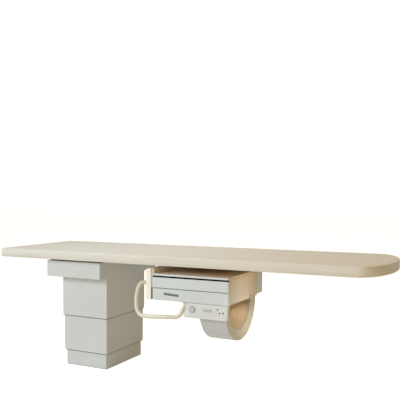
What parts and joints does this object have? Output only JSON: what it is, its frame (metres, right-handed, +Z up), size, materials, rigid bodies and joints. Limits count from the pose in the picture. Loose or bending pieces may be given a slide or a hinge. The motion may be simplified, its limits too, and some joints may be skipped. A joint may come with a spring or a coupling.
{
  "type": "radiography table",
  "caption": "Radiography table: long cream floating top with one rounded end, cantilevered on a telescopic pedestal, with a Bucky cassette unit on rails underneath.",
  "frame": {"origin": "on the floor under the centre of the pedestal", "axes": "+X along the top towards its rounded end, -Y towards the operator, +Z up"},
  "size_m": [2.4, 0.7389, 0.732],
  "materials": {
    "enamel": "satin off-white enamel",
    "moulding": "fine-textured off-white moulding",
    "laminate": "satin cream laminate",
    "beige": "satin beige",
    "brown": "satin brown phenolic",
    "cream": "smooth cream coating",
    "grey": "satin grey",
    "steel": "ground and zinc plated",
    "aluminium": "milled",
    "dark": "dark engineering plastic",
    "magnet": "blackened iron",
    "keycap": "satin grey"
  },
  "bodies": {
    "base": {"floor_plate": "steel", "anchor_bolt_1": "steel", "anchor_bolt_2": "steel", "anchor_bolt_3": "steel", "anchor_bolt_4": "steel", "base_cover": "enamel", "base_column": "steel", "base_glide_collar": "dark", "actuator_body": "aluminium", "lift_gearbox": "aluminium", "lift_motor": "dark"},
    "middle": {"middle_cover": "enamel", "middle_column": "steel", "middle_glide_collar": "dark", "middle_cover_bracket": "steel", "actuator_middle_tube": "aluminium"},
    "head": {"upper_cover": "enamel", "upper_column": "steel", "actuator_rod": "steel", "head_cover": "enamel", "head_plate": "steel", "cross_rail_left": "steel", "cross_rail_right": "steel", "rail_mount_beam": "steel", "bucky_rail_front": "steel", "bucky_rail_rear": "steel", "rail_end_bar": "dark"},
    "saddle": {"saddle_plate": "steel", "cross_guide_left": "aluminium", "cross_guide_right": "aluminium", "top_guide_front": "aluminium", "top_guide_rear": "aluminium", "cross_brake_magnet": "magnet", "top_brake_magnet": "magnet"},
    "top": {"tabletop_panel": "laminate", "top_rail_front": "steel", "top_rail_rear": "steel", "top_brake_strip": "steel"},
    "bucky": {"bucky_housing": "steel", "side_cover_left": "moulding", "side_cover_right": "beige", "bucky_top_cover": "moulding", "radiolucent_window": "brown", "upper_front_panel": "moulding", "anti_scatter_grid": "aluminium", "control_panel": "moulding", "cable_guard": "grey", "wrap_handle": "cream", "rear_carriage": "enamel", "carriage_shoe_front": "dark", "carriage_shoe_rear": "dark", "cable_gland": "grey"},
    "tray": {"tray_front": "moulding", "cassette_tray": "aluminium"},
    "jaw_front": {"clamp_jaw_front": "dark"},
    "jaw_rear": {"clamp_jaw_rear": "dark"},
    "release": {"release_button": "keycap"},
    "key_1": {"panel_key_1": "keycap"},
    "key_2": {"panel_key_2": "keycap"},
    "key_3": {"panel_key_3": "keycap"}
  },
  "joints": [
    {"name": "lift", "type": "slide", "parent": "base", "child": "head", "axis": [0, 0, 1], "range_m": [-0.175, 0.15]},
    {"name": "middle_lift", "type": "slide", "parent": "base", "child": "middle", "axis": [0, 0, 1], "range_m": [-0.0875, 0.075]},
    {"name": "cross_float", "type": "slide", "parent": "head", "child": "saddle", "axis": [0, 1, 0], "range_m": [-0.1, 0.1]},
    {"name": "long_float", "type": "slide", "parent": "saddle", "child": "top", "axis": [1, 0, 0], "range_m": [-0.35, 0.3]},
    {"name": "bucky_travel", "type": "slide", "parent": "head", "child": "bucky", "axis": [1, 0, 0], "range_m": [-0.345, 0]},
    {"name": "tray_slide", "type": "slide", "parent": "bucky", "child": "tray", "axis": [0, -1, 0], "range_m": [0, 0.33]},
    {"name": "jaw_front_slide", "type": "slide", "parent": "tray", "child": "jaw_front", "axis": [0, 1, 0], "range_m": [0, 0.08]},
    {"name": "jaw_rear_slide", "type": "slide", "parent": "tray", "child": "jaw_rear", "axis": [0, 1, 0], "range_m": [-0.08, 0]},
    {"name": "release_press", "type": "slide", "parent": "bucky", "child": "release", "axis": [0, 1, 0], "range_m": [0, 0.003], "stiffness_N_per_m": 600},
    {"name": "key_1_press", "type": "slide", "parent": "bucky", "child": "key_1", "axis": [0, 1, 0], "range_m": [0, 0.0015], "stiffness_N_per_m": 600},
    {"name": "key_2_press", "type": "slide", "parent": "bucky", "child": "key_2", "axis": [0, 1, 0], "range_m": [0, 0.0015], "stiffness_N_per_m": 600},
    {"name": "key_3_press", "type": "slide", "parent": "bucky", "child": "key_3", "axis": [0, 1, 0], "range_m": [0, 0.0015], "stiffness_N_per_m": 600}
  ],
  "couplings": [
    {"joint": "middle_lift", "follows": "lift", "ratio": 0.5},
    {"joint": "jaw_rear_slide", "follows": "jaw_front_slide", "ratio": -1}
  ]
}
